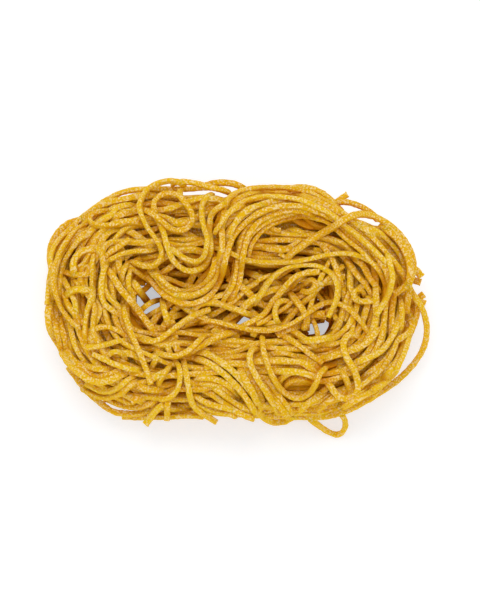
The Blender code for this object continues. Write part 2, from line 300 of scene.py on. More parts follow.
def dive(count, step, shown_ends):
    """How far a noodle's ends go down between its neighbours. An end that shows its cut stays on top."""
    along = np.arange(count) * step
    down = np.zeros(count)
    for shown, distance in zip(shown_ends, (along, along[::-1])):
        if not shown:
            down += DIVE_DEPTH * np.clip(1 - distance / DIVE_LENGTH, 0, 1) ** 2
    return down


def own_crossings(plan, support, step):
    """Raises the later part of a noodle where it crosses over its own earlier part."""
    apart = np.linalg.norm(plan[:, None] - plan[None], axis=2)
    order = np.arange(len(plan))
    near = (apart < CROSSING_REACH) & (order[:, None] - order[None] > CROSSING_APART / step)
    lifted = support.copy()
    for i, j in zip(*np.nonzero(near)):
        lifted[i] = max(lifted[i], lifted[j] + NOODLE_THICKNESS * PRESSED)
    return lifted


def lay_seen(route, step=0.6, passes=70, least=None):
    """Lays a noodle whose route is read from the photo. least holds heights where it stands free."""
    shown_ends = route[0] is CUT, route[-1] is CUT
    seen = even_steps([place for place in route if place is not CUT], step)
    seen = np.stack([blur(seen[:, 0], 2), blur(seen[:, 1], 2)], axis=1)
    height = np.full(len(seen), FIRST_HEIGHT)
    floor = None
    if least is not None:
        floor = np.interp(np.linspace(0, 1, len(seen)), np.linspace(0, 1, len(least)), least)
        height = floor
    for _ in range(4):
        plan = place_from_view(seen, height)
        support = heap.under(plan, FOOT) + HALF_THICK * PRESSED
        if floor is not None:
            support = np.maximum(support, floor)
        support = own_crossings(plan, support, step)
        height = bridge(support, passes)
    spots = np.column_stack([place_from_view(seen, height), height])
    drop_in_grid(spots)
    spots[:, 2] = np.maximum(spots[:, 2] - dive(len(spots), step, shown_ends), HALF_THICK + 0.05)
    return spots, np.tile([0.0, 0.0, 1.0], (len(spots), 1))


# %% [markdown]
# ## The hollow
#
# Noodles strung across the hollow close most of its floor. A few gaps stay open to the table, as in the
# photo.

# %% Crossing the hollow
HOLLOW_TRIES = 2500
HOLLOW_LAYERS = (8.0, 14.0)
HOLLOW_ACROSS, HOLLOW_AWAY = (-30, 27), (-4, 7)
SHARE_ALONG, ANGLE_ALONG, ANGLE_ANY = 0.7, 0.9, 1.6
HALF_LENGTHS, MOST_BEND = (6, 18), 0.02
TOO_HIGH, KEPT_BELOW, FEWEST_POINTS = 6, 9, 8


def cross_the_hollow(count, highest):
    """Noodles laid across the hollow, where the heap under their middle isn't above highest yet."""
    crossing = []
    for _ in range(count):
        middle = np.array([chance.uniform(*HOLLOW_ACROSS), chance.uniform(*HOLLOW_AWAY)])
        angle = ANGLE_ALONG if chance.uniform() < SHARE_ALONG else ANGLE_ANY
        heading = chance.uniform(-angle, angle)
        reach = chance.uniform(*HALF_LENGTHS)
        along = np.arange(-reach, reach, 1.0)
        bend = chance.uniform(-MOST_BEND, MOST_BEND)
        x = middle[0] + along * math.cos(heading) - bend * along**2 * math.sin(heading)
        y = middle[1] + along * math.sin(heading) + bend * along**2 * math.cos(heading)
        plan = np.stack([x, y + waver(along, size=0.5, period=25)], axis=1)
        found = heap.under(plan, FOOT)
        if found.mean() > highest + TOO_HIGH or found[len(found) // 2] > highest:
            continue
        height = bridge(found + HALF_THICK * PRESSED, passes=25)
        spots = np.column_stack([plan, height])
        keep = height < highest + KEPT_BELOW
        if hides_a_gap(seen_from_camera(spots)) or keep.sum() < FEWEST_POINTS:
            continue
        spots = spots[keep]
        drop_in_grid(spots)
        crossing.append((spots, np.tile([0.0, 0.0, 1.0], (len(spots), 1))))
    return crossing


hollow_noodles = [noodle for highest in HOLLOW_LAYERS for noodle in cross_the_hollow(HOLLOW_TRIES, highest)]
print(len(hollow_noodles), "noodles cross the hollow")

# %% [markdown]
# ## The noodles that one can follow
#
# These routes were read off the photo, against a grid of millimetres, and they are in the order in which
# they lie, lowest first. A route is a list of places as the camera sees them, and the drop gives its
# height. Where a noodle stands free of the heap, at the rim, the route also has heights that it keeps. A few,
# low at the rim or deep in the nest, follow no single noodle: they close slots that the photo doesn't have.

# %% Deep in the hollow and on its walls
DEEP = [
    [(-31.5, 12), (-33, 8), (-33.8, 4)],
    [(-31, 10), (-31.5, 5), (-31, 0)],
    [(-30.5, 6), (-28.2, 2.5), (-25.8, -0.2)],
    [(-28, -2.3), (-24, -0.3), (-21, 0.8)],
    [(-26.5, -4.6), (-23, -3), (-21, -1.5)],
    [(-21.7, 1), (-21, -3.5), (-19.3, -8)],
    [(-18.5, -1), (-17.5, -4)],
    [(1.5, 9.0), (5.5, 7.0), (9.5, 5.2), (13.5, 4.8)],
    [(4.0, 4.5), (8.0, 6.6), (12.0, 8.2)],
    [(14.0, 7.5), (18.5, 6.0), (23.0, 6.8)],
    [(15.5, 4.6), (19.5, 7.6), (22.5, 9.5)],
    [(21.6, -4.5), (22.9, -8.0), (23.8, -12.0)],
    [(-10, -8.4), (-6.5, -7.2), (-3, -7.2)],
    [(8, -7.2), (10.5, -6.3), (13.5, -6.9)],
    [(18.0, -11.4), (23.0, -11.6), (28.0, -10.4)],
    [(12.5, -7), (11, -4.5), (11.5, -1.5), (13.5, 0), (16, -0.5)],
    [(15, 3), (17, 0), (20, -4.5), (20.3, -8)],
    [(18.8, 3.4), (20.5, 2.4), (22.4, 3.2), (22.8, 5), (21.3, 6), (19.6, 5.4)],
    [(14, 21), (18, 20), (21, 18)],
    [(6, 16.5), (9, 15), (14, 14.7), (18, 15.5)],
    [(24, 17), (26.5, 13.5), (28, 11), (29.5, 7), (31, 3)],
    [(33, 11), (32.8, 7), (33, 3), (35, 0), (38, -0.5), (41, 0.5)],
    [(37.3, 1.5), (36.2, 3.1), (34.4, 2.9), (33.7, 1.2), (34.8, -0.2), (36.8, 0)],
]

# %% The south side, from its rim inwards
SOUTH_RIM = [
    ([(-33, -33.4), (-29.5, -34.2), (-26, -34.1), (-20, -34), (-15, -33.6), (-10, -33.3)], (6, 6)),
    ([(-13, -30), (-10, -32), (-5, -32.8), (0, -33.1), (8, -33.4), (16, -33.7), (22, -34), (27, -33.6),
      (31, -32.3), (36, -30), (39.5, -27.5), (42, -24)], (11, 10, 10, 10, 10.5, 12)),
    ([(3.5, -30.5), (6.5, -33), (9.5, -35.2), (12, -35.5), (14.5, -35), (16.5, -33.4), (19.5, -30.8)],
     (7, 4.5, 2, 1.5, 2, 4.5, 7)),
    ([(9, -32.4), (14, -32.6), (19, -32.6), (24, -32.4), (28, -31.4), (32, -29.6)], (9, 9, 9, 9, 10, 11)),
    ([(12, -31.2), (17, -31.6), (22, -31.4), (26.5, -30.6), (30, -29.2)], (10, 10, 10, 10.5, 11.5)),
    ([(21, -33.4), (22, -35), (25, -37.3), (28, -38.9), (30, -38.8), (31.5, -36.5), (31, -34), (29.8, -32)],
     (4, 2, 1, 1, 1, 2, 5)),
    ([(-38.5, -28), (-35, -30), (-31, -31), (-27.5, -31), (-24.5, -29.5), (-23, -27.8)], (10, 10)),
]
SOUTH = [
    [(18, -31.5), (22, -29), (26, -26)],
    [(23.5, -31.5), (27, -29), (32, -25.5), (36, -22.5)],
    [(3, -17.8), (10, -17.8), (18, -18), (21, -19.5), (24, -22)],
    [(5, -20.5), (12, -20.7), (18, -21), (24, -22.5)],
    [(8, -15.5), (14, -15.6), (19, -17)],
    [(14, -23.2), (18, -23), (22, -23.8)],
    [(8, -21.5), (10, -25), (13, -29), (16, -32.5)],
    [(13.3, -25), (14.6, -23.8), (16.5, -23), (18.5, -22.8), (21, -23.2), (23.5, -24)],
    [(-7.5, -24.5), (-4, -27.5), (-0.5, -30), (3, -31.8), (5, -32)],
    [(-13, -27), (-9.5, -29.5), (-5, -31), (0, -31.8)],
    [(-13, -22.5), (-9.5, -22.5), (-5, -23.5), (-1.5, -25.5), (1, -27.5)],
    [(-13, -16.5), (-9, -18), (-5, -20.5), (-1.5, -23.5), (1.5, -27), (4, -30.5), (5.3, -32.5)],
    [(2, -18), (3.5, -21.5), (5.5, -25), (7.5, -29)],
    [(-18.3, -11), (-17.5, -14), (-16, -16)],
    [(-15, -15.5), (-10, -13), (-6, -11), (-2, -9.5), (1, -9)],
    [(-24, -13.3), (-22, -15.6), (-18, -16.3), (-14.5, -15), (-11.5, -12.3), (-8.5, -9.3)],
    [(6.5, -13), (4, -15), (3.8, -18), (5.5, -22), (8, -26), (10.5, -30), (12, -32)],
    [(29.7, -18.5), (31, -21.5), (32.5, -25), (33, -27)],
    [(46.5, -12), (43.5, -17), (40, -20), (36, -22.5)],
    [(48.5, -12), (46.5, -17), (43, -21), (39, -23.3), (35.5, -23.8)],
    [(47, 3), (47.5, -2), (46, -8), (44.5, -11.5), (41.5, -15), (37.5, -17), (33, -18.5)],
    [(41.5, -7), (39, -11), (36, -13.5), (32, -15), (27, -16.5), (24, -17)],
    [(12.5, -9.5), (15.5, -11.5), (19, -14), (22, -16.5), (25, -18.6), CUT],
    [(7.3, -10), (7.5, -14), (8.5, -18), (10, -21.5), (12, -25), (14.5, -27.5), (17.5, -28.5),
     (20.5, -27.5), (22.8, -24.5), (24.3, -21), (26, -19)],
    [(25.5, -22.5), (27.5, -25.5), (29.5, -28), (32.5, -28.7), (34.8, -27), (35, -24), (34, -20.5),
     (32, -17), (30.8, -13.5), (31.5, -11), (33, -10), (36, -10.3)],
]

# %% The west side, and the bridge over the hollow's end
WEST_RIM = [
    ([(-51.8, 12), (-52.3, 7), (-52.6, 2), (-52.7, -3), (-52.2, -8), (-50.5, -12)], (11, 11)),
    ([(-53, 13), (-53.3, 8), (-53.8, 2), (-53.8, -3), (-53, -8)], (12, 12)),
    ([(-47, 21.5), (-50.2, 18.5), (-52, 14.5), (-52.8, 9), (-52.8, 4)], (14, 13)),
    ([(-53.6, 10.5), (-54.4, 6), (-54.7, 2), (-54.9, -1.7), CUT], (14, 12)),
    ([(-54.5, 0), (-54.8, -5), (-54, -9), (-52, -12.5), (-50, -15.5), (-47, -18), (-44.5, -19), (-40, -20),
      (-35, -20)], (13, 12, 12, 14)),
    ([(-49, -19), (-46, -23.5), (-43, -27), (-39.5, -30), (-36, -32.3), (-32, -33), (-28, -32.9),
      (-24, -31.5), (-22, -30)], (12, 9, 9, 11)),
    ([(-45.5, 24), (-50, 21.5), (-53, 18), (-54.2, 14), (-54, 10), (-53, 6)], (14, 13)),
]
WEST = [
    [CUT, (-31, -29.5), (-28, -28.3), (-26, -27.5)],
    [(-29, -24), (-27, -25.5), (-23.5, -26), (-20.5, -25.5)],
    [(-44, -23.7), (-41, -25.8), (-38, -26.6), (-34.5, -25.5), (-31.5, -23), (-29.5, -21.3)],
    [(-51, -14.5), (-49, -18), (-46, -21), (-42.5, -23.3), (-39, -23.8), (-35, -22.5), (-31.5, -20.5)],
    [(-51.5, -4), (-50.8, -8), (-49.5, -13)],
    [(-42, 19.5), (-46, 17), (-49, 13), (-51, 8.5), (-51.5, 4), (-51.3, 1)],
    [(-43.5, 22.5), (-47, 20), (-50, 16), (-52.3, 11), (-53.2, 6), (-52.3, 1), (-50.5, -3), (-48, -6.3),
     (-46, -7.8), (-45.2, -7.6), CUT],
    [(-41, 15), (-41.8, 11), (-41.8, 6), (-42, 1), (-43.3, -3), (-44, -8), (-43.7, -12.5)],
    [(-41, 16.6), (-40, 14.5), (-38.7, 12.5)],
    [(-37.7, 11.7), (-38.8, 8), (-39.3, 4), (-39, 0), (-37.5, -2), (-35, -3.8), (-33, -4.3)],
    [(-43, -9.5), (-40.5, -8), (-37, -8), (-33.5, -9.5), (-31, -11)],
    [CUT, (-43.8, -13.8), (-40, -13.3), (-36, -12.3), (-32, -11)],
    [CUT, (-42, -15.5), (-38.5, -17.2), (-35, -18.8), (-31, -20), (-27.5, -20)],
    [(-38.5, -16.3), (-36, -15), (-33.5, -15.3), (-32.3, -17)],
    [(-23.5, -27.5), (-21.5, -28.8), (-19, -28), (-17, -25.5), (-16.6, -22), (-17, -19), (-18.5, -17)],
    [(-38.5, 13), (-36, 14.3), (-33.5, 16), (-30.8, 17.8), CUT],
    [CUT, (-37.2, 11.5), (-33, 13.5), (-29, 14.2), (-25.5, 14.3), (-23, 15.5)],
    [(-37.5, 9.5), (-36, 7), (-34, 3.5), (-31.5, 0.5), (-29, -2.5), (-26.5, -6), (-24, -9), (-23, -10.5)],
    [(-33, -0.9), (-32.5, -4.5), (-31, -9), (-29.5, -12.5), (-27.5, -17), (-26, -21), (-24.9, -24.8), CUT],
    [(-50.8, 7.2), (-49.4, 4.4), (-48, 1.7), (-46.9, -1), (-46.7, -4.6)],
    [(-47.3, 6.6), (-45.6, 4.3), (-44.4, 2.0)],
    [(-49.8, 2.0), (-46.8, 3.1), (-43.8, 2.9), (-41.5, 3.6)],
    [(-50.4, 8.8), (-47.6, 7.4), (-44.5, 7.4), (-41.8, 8.6)],
    [(-47.2, 8.7), (-45, 10.2), (-42.8, 11.2)],
    [(-41, 15.2), (-44.3, 14.4), (-46.9, 12.2), (-47.6, 9.5), (-46.8, 7.3)],
    [(-25.8, -22.6), (-22.4, -21.7), (-19.4, -19.8)],
    [(-23, -24), (-21.2, -21.4), (-19.4, -18.6)],
    [(-25, -19.8), (-23.6, -17.2), (-23.2, -14.8)],
]

# %% Across the middle
MIDDLE = [
    [(-10.5, -5.8), (-6, -6.3), (-1, -7.5), (4, -8.5), (9, -8.8), (13, -8), (17, -6.3), (20, -4.3),
     (23, -2), (26, -0.7), (29.5, -1), (33, -3), (36, -6.5), (38.5, -10)],
    [(-13.5, -4.4), (-11.8, -2), (-9.3, -0.8), (-5, -1.1), (-0.5, -2.8), (3, -4), (5.5, -4.5)],
    [(-29, -10.8), (-26, -12), (-22.5, -11.5), (-19, -9), (-15, -6), (-11.5, -4), (-7.5, -2.7), CUT],
    [(5, -0.5), (7, 2), (9, 5), (12, 8), (16, 9.7), (21, 10.2), (25, 9.3), (28, 7), (29.3, 4), (29, 0.5),
     (28, -2), (26.3, -5.3), CUT],
    [(1, -7.5), (5, -6), (8, -4), (10, -1), (12, 1.5), (14.5, 4.5), (17.5, 7), (21, 8), (24.3, 8.2), CUT],
]

# %% The ends and the bow at the rim
RIM_ENDS = [
    ([(-15.5, -17), (-15, -20), (-14.3, -24), (-13.7, -28), (-12.8, -30.5), (-11, -32.3), (-8.5, -33.8),
      (-5.8, -35.6), CUT], (5, 5, 5, 11, 9)),
    ([(-21, -29.5), (-23, -31.5), (-25, -34), (-26.7, -36.3), CUT], (10, 8)),
    ([(-20, -28.5), (-20.2, -32), (-20.4, -35.2), CUT], (11, 9)),
    ([(48, 10.4), (51.5, 9), (53.7, 6.5), CUT], (16, 15)),
    ([(49, 7), (51, 6), (53.6, 5), CUT], (14, 13)),
    ([(49, -2.6), (51.5, -1), (53, 0.8), (54.4, 1.9), CUT], (10, 12)),
    ([(50, 0.4), (53.5, -0.5), (55, -1), CUT], (14, 13)),
    ([(52.3, 0), (52.2, -3.5), (51.2, -7), (49.6, -11), (48, -14.5)], (12, 11, 10)),
    ([(50.6, -1), (50.4, -5), (49.2, -9.5), (47.8, -14), (45.8, -18), (42.8, -21.5)], (11, 10, 10)),
    ([(48.3, -12), (46.6, -17.5), (43.8, -21.6), (40.3, -24.4), (36.8, -26.8), (33.2, -29)], (10, 10, 10)),
    ([(46.8, -10), (45, -15.5), (41.8, -20.2), (38, -23.3), (34.6, -25.8)], (12, 12, 12)),
    ([(40.3, -25.4), (37.5, -27.4), (34.5, -29.1), (31, -30.6)], (9, 10)),
    ([(49, -4), (50.8, -7), (49.5, -9.8), (46, -11.5)], (14, 14)),
    ([(50, -10), (49, -14), (47.3, -18), (45.5, -21.5), (42, -24.5), (38.5, -26)], (10, 9)),
    ([(50, 4.5), (51.5, 1), (53.5, -2), (54.8, -6), (55, -9.5), (54.2, -13.5), (52, -17.5), (49, -21),
      (45, -24.5), (41, -27), (38, -28.5)], (20, 18, 15, 11.5, 9, 7, 6, 5, 5, 6, 8)),
    ([(47.5, 2), (47.8, -4), (47.4, -8.2)], (10, 10)),
    ([(49.4, 9), (49.9, 5), (49.6, 1), (49.2, -3)], (16, 15, 13)),
]

# %% The north side: long arcs that run side by side, and the noodles that cross them
NORTH_RIM = [
    ([(-54, 8), (-53.8, 13), (-52, 17), (-49, 20), (-45, 23.9), (-40, 27.7), (-36, 30), (-32, 31.6),
      (-26, 32.2), (-20, 32.2), (-12, 32.3), (-5, 33)], (14, 16, 17)),
    ([(-10, 33.5), (-6, 34), (-2, 33.9), (1, 33), (4, 31.5)], (17, 17)),
    ([(15, 32.9), (20, 32.6), (24, 31.3), (27, 29.2), (29, 27.2), (31.5, 24.6)], (17, 17)),
    ([(28.3, 28.8), (30, 29.5), (32.3, 30.8), CUT], (19, 19)),
]
NORTH = [
    [(-46, 22.5), (-42, 26), (-38, 28), (-34, 29), (-30, 29.8), (-26, 30.2), (-22, 31)],
    [(34, 12.8), (36.5, 10), (38.5, 6.5), (41.5, 2.5)],
    [(31.5, 12.5), (34, 8.5), (36.5, 5.5), (39.5, 1.7)],
    [(-7, 15.8), (-3.5, 14.5), (-1, 13.2), (3, 11.5), (8, 11), (14, 11), (20, 11.7), (26, 13), (31, 13.6),
     (35, 13), (39, 11), (42.7, 9), CUT],
    [(-19, 2), (-15, 1.3), (-11.5, 1.7), (-8.5, 3.5), (-6.3, 7), (-5.3, 11), (-4.5, 15)],
    [(-3.4, 28.3), (-3.7, 25), (-4.3, 21), (-4.3, 17), (-4.4, 14), (-5, 10)],
    [(3, 12.8), (4, 16), (6.5, 19.3), (10.5, 22), (15, 23.6), (19, 24.3), (23.5, 23.7), (27, 22.3),
     (31, 18.5), (35, 15), (38.5, 11.5), (41.5, 8), (43.3, 4.5)],
    [(-3, -0.5), (-0.5, 2.3), (0.6, 5), (1.4, 10), (2, 14), (3.2, 18.5), (6, 22.2), (9.5, 24.3), (14, 25.7),
     (19, 25.8), (24, 24)],
    [(-27, 8.5), (-24.5, 5), (-21.5, 1.8), (-18, -0.4), (-14.5, -1.2), (-11, -0.6), (-8, 1.2), (-5.5, 4.5),
     (-4, 8.5), (-3, 13), (-1.5, 17.5), (1, 21), (4.5, 24), (9, 26.2), (14, 27.3), (19, 27), (24, 25.3),
     (29, 22.9), (33, 20), (37, 16.5), (40.5, 12.5), (43, 9), (44.5, 5)],
    [(-3, 17), (-1.5, 20.5), (1, 24.3), (5, 27), (9, 28)],
    [(-5, 20), (-3.5, 23.5), (-1, 26.5), (3, 28.9), (8, 29.9), (13, 29.8), (18, 29), (23, 27), (28, 24.3),
     (32, 21), (36, 17.8), (40, 14), (43.5, 10.5), (46, 7)],
    [(-3.5, 26), (-3, 28.5), (-1.5, 30.3), (1, 31.5), (5, 32.4), (10, 32.6), (15, 32.5), (20, 31.5),
     (25, 29), (29, 26.5), (34, 22.5), (38, 19.2), (42, 15), (45.5, 11), (48.5, 7), (49.5, 5)],
    [(-6.5, 20), (-4.5, 22.5), (-2, 25.5), (2, 28)],
    ([(28.5, 28.9), (31, 28.6), (34.5, 27.7), (38, 26), (41, 23.9)], (20, 21, 21)),
    ([(33, 23), (36, 22.3), (39, 20.9), (42, 20.5), (44.5, 19), (46.5, 17)], (22, 22, 20)),
    ([(35, 22), (39, 19.5), (43, 16), (46.5, 12.5), (49, 9), (50, 6)], (22, 21, 18)),
    ([(13.5, 12), (17, 14.3), (20, 16.5), (24, 19), (28, 21.3), (32, 23.8), (35, 24.8), (38, 24.7),
      (41, 23.7), (44.5, 21.5), (47.5, 18.5), (50, 14.5), (51, 11), (50.8, 7.5), (49.5, 4.5), (47.5, 3),
      (45, 1.8), CUT], (10, 18, 25, 24, 20, 18)),
    ([(40, 21), (44, 18.5), (47, 15.5), (49.3, 12)], (21, 20, 19)),
    ([(37, 21.8), (42, 18.9), (45.6, 15.3), (48, 11.3), (49.3, 7)], (22, 22, 20, 18)),
    ([(41.5, 22.4), (45.6, 19.2), (48.5, 15), (50, 10.5), (50.2, 6)], (23, 23, 21, 18)),
    ([(42.5, 21.4), (46.4, 17.8), (49, 13.5), (50.2, 9), (49.9, 4)], (22, 22, 20, 17)),
    [(43.5, 14), (44.5, 10), (45, 6), (44, 2), (42.5, -1), (40, -4.8), CUT],
    [(-24.5, 9), (-22.5, 6.2), (-19.5, 3.7), (-16.5, 2.5), (-13, 2.7), (-10, 4.2), (-7.8, 6.8), (-6.6, 10),
     (-6.3, 13)],
    [(-27, 22.3), (-31, 22.6), (-35, 21.9), (-39, 21.5), (-41.8, 22), (-42.9, 23.4), (-42, 24.9),
     (-39, 25.9), (-36, 26.6)],
    [(-28.8, 27.6), (-32, 27.5), (-35, 26.5), (-36.2, 24.8), (-38.5, 23.5), (-41, 22.6)],
    [(-29, 25.4), (-32, 25.2), (-35, 24.2), (-36.3, 22.8)],
    [(-27.5, 27), (-25, 25.3), (-23, 23.5), (-21.5, 20), (-20.3, 15.5), (-18.5, 11.5), (-16, 9.2),
     (-13.5, 8.3), (-11, 8.8), (-9, 10.3), (-8, 12.5), (-7.6, 15), (-8, 19), (-8, 22), (-7.2, 25),
     (-5, 27.2), (-3.2, 28.7)],
    [(-20.3, 16), (-18, 14.2), (-15.5, 12.2), (-13, 11.1), (-10.8, 11.3), (-9.3, 13), (-8.8, 15.5),
     (-8.5, 18), (-9.5, 21), (-10.2, 25), (-10, 28), (-8.5, 30.3), (-7, 31.5)],
]
NORTH_LOOPS = [
    ([(-15.8, 33.5), (-16.7, 31.5), (-16, 29.5), (-14.5, 27)], (21, 21)),
    ([(-19, 34.5), (-15, 34.3), (-11, 33.6), (-7, 32.5), (-2, 31.8)], (22, 22)),
    ([(-15, 34), (-19, 34.6), (-23, 33.8), (-26, 32), (-27.8, 29), (-28.3, 26.5), (-26.5, 22), (-24.5, 19),
      (-22.5, 16), (-21.7, 13.5), (-22.7, 11), (-25, 9.8), (-28, 10.2), (-31, 11.8)], (22, 22, 20, 10, 10)),
    ([(-27.5, 27), (-24, 24.5), (-21.5, 22.5), (-19.5, 20.8), (-17, 20.1), (-14.5, 20.8), (-13, 23),
      (-13.3, 25.5), (-15, 28), (-17, 30.3), (-20, 31), (-23, 29.8), (-24.3, 27.5), (-23.5, 25)], (10, 10)),
]

# %% Laying them, with more noodles close beside the long runs
BESIDE, CLOSE_BESIDE = 1.9, 1.6
BESIDE_SHARES = (0.7, 1.3)


def neighbours(routes, spread):
    """A noodle close beside each route, which the heap's parallel runs have and the eye doesn't count."""
    beside = []
    for route in routes:
        places = np.array([place for place in route if place is not CUT], float)
        ways = np.gradient(places, axis=0)
        ways /= np.linalg.norm(ways, axis=1)[:, None]
        aside = chance.choice([-1, 1]) * chance.uniform(*BESIDE_SHARES) * spread
        moved = places + aside * np.stack([-ways[:, 1], ways[:, 0]], axis=1)
        if not hides_a_gap(even_steps(moved, step=0.6)):
            beside.append([tuple(p) for p in moved])
    return beside


def lay_all(routes):
    laid = []
    for route in routes:
        if isinstance(route, tuple):
            laid.append(lay_seen(route[0], least=route[1]))
        else:
            laid.append(lay_seen(route))
    return laid


rim_noodles = lay_all(SOUTH_RIM + WEST_RIM)
south_noodles = lay_all(DEEP + neighbours(SOUTH[2:14], BESIDE) + SOUTH)
west_noodles = lay_all(neighbours(WEST[2:7], BESIDE) + WEST + MIDDLE)
north_noodles = lay_all(NORTH_RIM + RIM_ENDS + neighbours(NORTH[6:13], BESIDE)
                        + neighbours(NORTH[6:12], CLOSE_BESIDE))
north_noodles += lay_all(NORTH + NORTH_LOOPS)
followed = rim_noodles + south_noodles + west_noodles + north_noodles
print(len(followed), "followed noodles, highest point, mm:", round(heap.heights.max(), 1))

# %% [markdown]
# ## From routes to noodles
#
# A cut noodle is a rounded square swept along its route. Blender's curve bevel could do that, but a mesh
# made here point by point can also roll, vary in width and carry values for the material. The sweep keeps
# the flat side to what it lies on and lets it roll a little, as a long strip does. Cutting and drying leave
# the skin uneven, so each corner strays a little.
#
# Each point also keeps two numbers for the material: a tone for its noodle, and how deep it is buried.

# %% How deep each place lies
DEEP_FROM, DEEP_AT = 2.0, 6.0
COVER_REACH = 2.4
WALL_LINE, WALL_FADE = 31.0, 5.0


def widest(heights, reach):
    """Each cell takes the highest of the cells within reach of it, along rows and then columns."""
    span = int(reach / CELL)
    for axis in (0, 1):
        heights = np.max([np.roll(heights, k, axis) for k in range(-span, span + 1)], axis=0)
    return heights


cover = widest(heap.heights, COVER_REACH)


# This depth also paints shade in the material: amber colour and fewer pale flakes deep in the nest.
def buried(spots):
    """0 on top of the heap and on its outer wall, 1 well down between the noodles."""
    rows, columns = heap.cells(spots[:, :2], reach=0.1)
    depth = (cover[rows[:, 0], columns[:, 0]] - spots[:, 2] - DEEP_FROM) / DEEP_AT
    from_line = np.hypot(np.clip(np.abs(spots[:, 0] - RING_CENTRE[0]) - END_CENTRE, 0, None),
                         spots[:, 1] - RING_CENTRE[1])
    return np.clip(depth, 0, 1) ** 1.5 * np.clip((WALL_LINE - from_line) / WALL_FADE, 0, 1)


# %% The sweep
EDGE_RADIUS = 0.24
ROLLS, ROLL_SHARES = [0.0, 0.4, 1.2], [0.55, 0.3, 0.15]
WIDTHS = (0.9, 1.22)
STRAY = 0.045
TONE, BURIED = "noodle_tone", "noodle_buried"


def square_section():
    """A rectangle with its corners cut, as (across, up) in mm: two points at each corner."""
    outline = []
    for quarter, (sign_x, sign_y) in enumerate(((1, 1), (-1, 1), (-1, -1), (1, -1))):
        for k in range(2):
            angle = math.pi / 2 * (quarter + k)
            outline.append((sign_x * (NOODLE_WIDTH / 2 - EDGE_RADIUS) + EDGE_RADIUS * math.cos(angle),
                            sign_y * (HALF_THICK - EDGE_RADIUS) + EDGE_RADIUS * math.sin(angle)))
    return np.array(outline)


def sweep(name, noodles):
    """One mesh of many noodles: each is (points, up directions), in mm."""
    outline = square_section()
    sides = len(outline)
    verts, faces, tones, depths = [], [], [], []
    count = 0
    for spots, upward in noodles:
        n = len(spots)
        forward = np.gradient(spots, axis=0)
        forward /= np.linalg.norm(forward, axis=1)[:, None]
        across = np.cross(forward, upward)
        across /= np.linalg.norm(across, axis=1)[:, None]
        above = np.cross(across, forward)
        along = np.arange(n) * np.linalg.norm(spots[1] - spots[0])
        roll = (chance.choice(ROLLS, p=ROLL_SHARES) + waver(along, size=0.3, period=45))[:, None]
        side_way = across * np.cos(roll) + above * np.sin(roll)
        top_way = above * np.cos(roll) - across * np.sin(roll)
        width = (chance.uniform(*WIDTHS) + waver(along, size=0.035, period=9))[:, None, None]
        ring = spots[:, None] + side_way[:, None] * outline[None, :, :1] * width
        ring = ring + top_way[:, None] * outline[None, :, 1:]
        ring += chance.normal(0, STRAY, ring.shape)
        ring[..., 2] = np.maximum(ring[..., 2], 0.0)
        verts.append(ring.reshape(-1, 3))
        base = count + np.arange(n - 1)[:, None] * sides + np.arange(sides)
        turn = count + np.arange(n - 1)[:, None] * sides + (np.arange(sides) + 1) % sides
        faces += np.stack([base, turn, turn + sides, base + sides], axis=2).reshape(-1, 4).tolist()
        faces.append([count + k for k in range(sides)][::-1])
        faces.append([count + (n - 1) * sides + k for k in range(sides)])
        tones.append(np.full(n * sides, chance.uniform()))
        depths.append(np.repeat(buried(spots), sides))
        count += n * sides
    mesh = bpy.data.meshes.new(name)
    mesh.from_pydata((np.vstack(verts) * MM).tolist(), [], faces)
    for label, values in ((TONE, tones), (BURIED, depths)):
        layer = mesh.attributes.new(label, "FLOAT", "POINT")
        layer.data.foreach_set("value", np.concatenate(values).astype(np.float32))
    mesh.shade_smooth()
    mesh.set_sharp_from_angle(angle=math.radians(40))
    piece = bpy.data.objects.new(name, mesh)
    bpy.context.scene.collection.objects.link(piece)
    print(name, len(noodles), "noodles,", sum(len(f) - 2 for f in faces), "triangles")
    return piece


# %% [markdown]
# ## Dry egg pasta
#
# Durum semolina and egg, rolled, cut and dried in air. It is an unglazed, slightly see-through dough,
# golden from the yolk, and its dry skin is matt, so its roughness is high and its gloss very low. Light
# soaks in almost a millimetre and comes out a little warmer, so the folds don't go grey.

# %% Two helpers for materials
def linear(hex_colour):
    """sRGB hex to the linear values that a shader takes."""
    parts = [int(hex_colour[i : i + 2], 16) / 255 for i in (1, 3, 5)]
    return (*[c / 12.92 if c <= 0.04045 else ((c + 0.055) / 1.055) ** 2.4 for c in parts], 1.0)


def add_node(tree, kind, links=(), **settings):
    """Adds a shader node. settings are its own or its inputs' values; links are (output socket, input)."""
    node = tree.nodes.new(kind)
    for name, value in settings.items():
        socket = name.replace("_", " ").title()
        if socket in node.inputs:
            node.inputs[socket].default_value = value
        else:
            setattr(node, name, value)
    for source, target in links:
        tree.links.new(source, node.inputs[target])
    return node


# %% [markdown]
# The dough's yellow differs a little from noodle to noodle. Deep in the nest and on a noodle's flanks the
# colour is painted amber, a painted shade for light that has passed through more dough. A mix node takes
# its colours at sockets 6 and 7, and gives the mixed one at 2.

# %% The dough's colour, with painted shade
MIX_FIRST, MIX_SECOND, MIXED = 6, 7, 2
YELLOWS = ("#EBB508", "#F2C61A")
SHADE_AMBER = "#E6A108"
FLANK_SHADE_SHARE = 0.55


